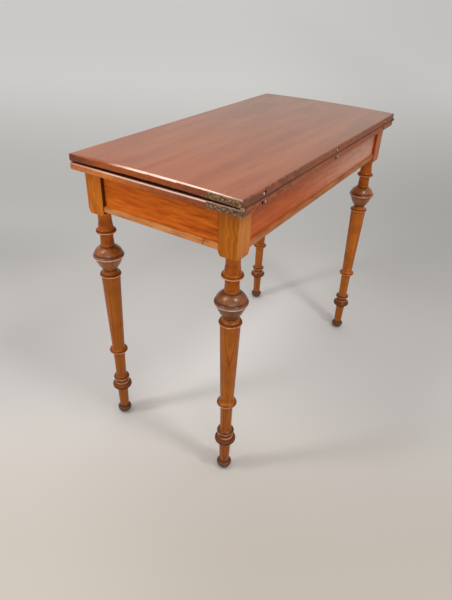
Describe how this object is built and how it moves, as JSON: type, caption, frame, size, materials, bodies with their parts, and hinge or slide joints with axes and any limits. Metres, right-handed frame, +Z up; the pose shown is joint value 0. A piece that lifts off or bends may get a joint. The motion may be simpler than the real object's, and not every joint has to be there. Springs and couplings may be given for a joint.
{
  "type": "games table",
  "caption": "Turnover-top games table: a folded top turns a quarter on an off-centre stud and unfolds to a square, over a frame with a storage well on slender turned legs.",
  "frame": {"origin": "on the floor under the middle of the closed table's bounding box", "axes": "+X along the long side, +Y from the hinge side at the front to the back, +Z up"},
  "size_m": [0.85, 0.434, 0.7635],
  "materials": {
    "top_mahogany": "old satin polish",
    "apron_mahogany": "old satin polish",
    "leg_mahogany": "old satin polish",
    "turned_mahogany": "old satin polish, dark in the hollows",
    "bead_wood": "old satin polish",
    "carcase_pine": "bare, aged",
    "baize": "green woollen cloth",
    "aged_brass": "dull, tarnished",
    "screw_steel": "worn",
    "pivot_iron": "blackened",
    "glide_steel": "dull"
  },
  "bodies": {
    "frame": {"leg_post_front_left": "leg_mahogany", "leg_knop_front_left": "turned_mahogany", "leg_shaft_front_left": "leg_mahogany", "foot_glide_front_left": "glide_steel", "leg_post_back_left": "leg_mahogany", "leg_knop_back_left": "turned_mahogany", "leg_shaft_back_left": "leg_mahogany", "foot_glide_back_left": "glide_steel", "leg_post_front_right": "leg_mahogany", "leg_knop_front_right": "turned_mahogany", "leg_shaft_front_right": "leg_mahogany", "foot_glide_front_right": "glide_steel", "leg_post_back_right": "leg_mahogany", "leg_knop_back_right": "turned_mahogany", "leg_shaft_back_right": "leg_mahogany", "foot_glide_back_right": "glide_steel", "apron_front": "apron_mahogany", "apron_bead_front": "bead_wood", "apron_back": "apron_mahogany", "apron_bead_back": "bead_wood", "apron_left": "apron_mahogany", "apron_bead_left": "bead_wood", "apron_right": "apron_mahogany", "apron_bead_right": "bead_wood", "pivot_rail": "carcase_pine", "well_floor": "carcase_pine", "well_divider": "carcase_pine", "well_ledgers": "carcase_pine", "corner_blocks": "carcase_pine"},
    "lower_top": {"lower_leaf": "top_mahogany", "lower_baize": "baize", "pivot_plate": "pivot_iron", "pivot_plate_screws": "pivot_iron", "pivot_washer": "pivot_iron", "pivot_nut": "pivot_iron", "turn_stop": "carcase_pine", "hinge_strap_lower_left": "aged_brass", "hinge_strap_lower_right": "aged_brass", "hinge_rivet_left": "aged_brass", "hinge_rivet_right": "aged_brass", "hinge_screws_lower": "screw_steel", "register_pins_lower": "screw_steel"},
    "upper_top": {"upper_leaf": "top_mahogany", "upper_baize": "baize", "hinge_strap_upper_left": "aged_brass", "hinge_strap_upper_right": "aged_brass", "hinge_screws_upper": "screw_steel", "register_pins_upper": "screw_steel"}
  },
  "joints": [
    {"name": "top_turn", "type": "hinge", "parent": "frame", "child": "lower_top", "pos_m": [-0.1065, -0.1065, 0.7247], "axis": [0, 0, 1], "range_deg": [0, 90]},
    {"name": "leaf_fold", "type": "hinge", "parent": "lower_top", "child": "upper_top", "pos_m": [0, -0.213, 0.7425], "axis": [1, 0, 0], "range_deg": [0, 178.5]}
  ]
}
